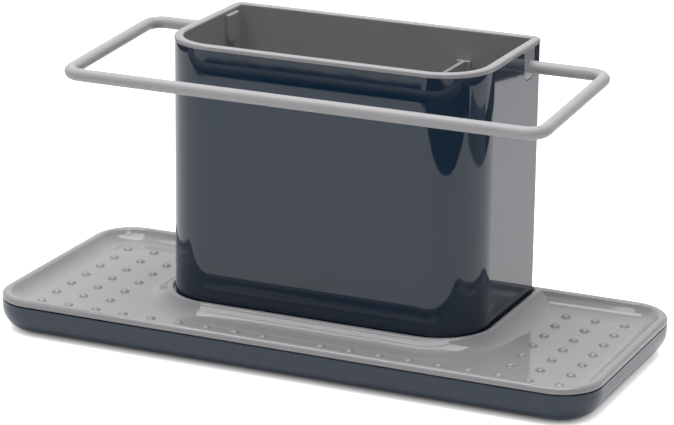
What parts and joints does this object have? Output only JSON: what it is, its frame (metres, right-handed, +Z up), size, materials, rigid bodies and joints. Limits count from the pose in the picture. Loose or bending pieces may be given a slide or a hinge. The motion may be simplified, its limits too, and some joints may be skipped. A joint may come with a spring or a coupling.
{
  "type": "kitchen sink caddy",
  "caption": "Sink caddy: a long drip tray under a bumped drainer, a round-cornered tower with a lift-out bin and divider, and a cloth rail round the front.",
  "frame": {"origin": "on the worktop, under the middle of the tray", "axes": "+X along the tray to the right, +Y from front to back, +Z up"},
  "size_m": [0.31, 0.132, 0.1467],
  "materials": {
    "slate_gloss": "polished slate-coloured plastic",
    "grey_satin": "light grey plastic with a satin gloss",
    "rail_satin": "grey coated steel rod, satin",
    "foot_rubber": "matt dark rubber"
  },
  "bodies": {
    "base": {"base_tray": "slate_gloss", "foot_front_left": "foot_rubber", "foot_front_right": "foot_rubber", "foot_rear_left": "foot_rubber", "foot_rear_right": "foot_rubber"},
    "drainer": {"drainer_tray": "grey_satin"},
    "tower": {"tower_shell": "slate_gloss"},
    "bin": {"bin_liner": "grey_satin", "rail": "rail_satin"},
    "divider": {"divider": "grey_satin"}
  },
  "joints": [
    {"name": "drainer_lift", "type": "slide", "parent": "base", "child": "drainer", "axis": [0, 0, 1], "range_m": [0, 0.03]},
    {"name": "tower_lift", "type": "slide", "parent": "drainer", "child": "tower", "axis": [0, 0, 1], "range_m": [0, 0.04]},
    {"name": "bin_lift", "type": "slide", "parent": "tower", "child": "bin", "axis": [0, 0, 1], "range_m": [0, 0.14]},
    {"name": "divider_lift", "type": "slide", "parent": "bin", "child": "divider", "axis": [0, 0, 1], "range_m": [0, 0.14]}
  ]
}
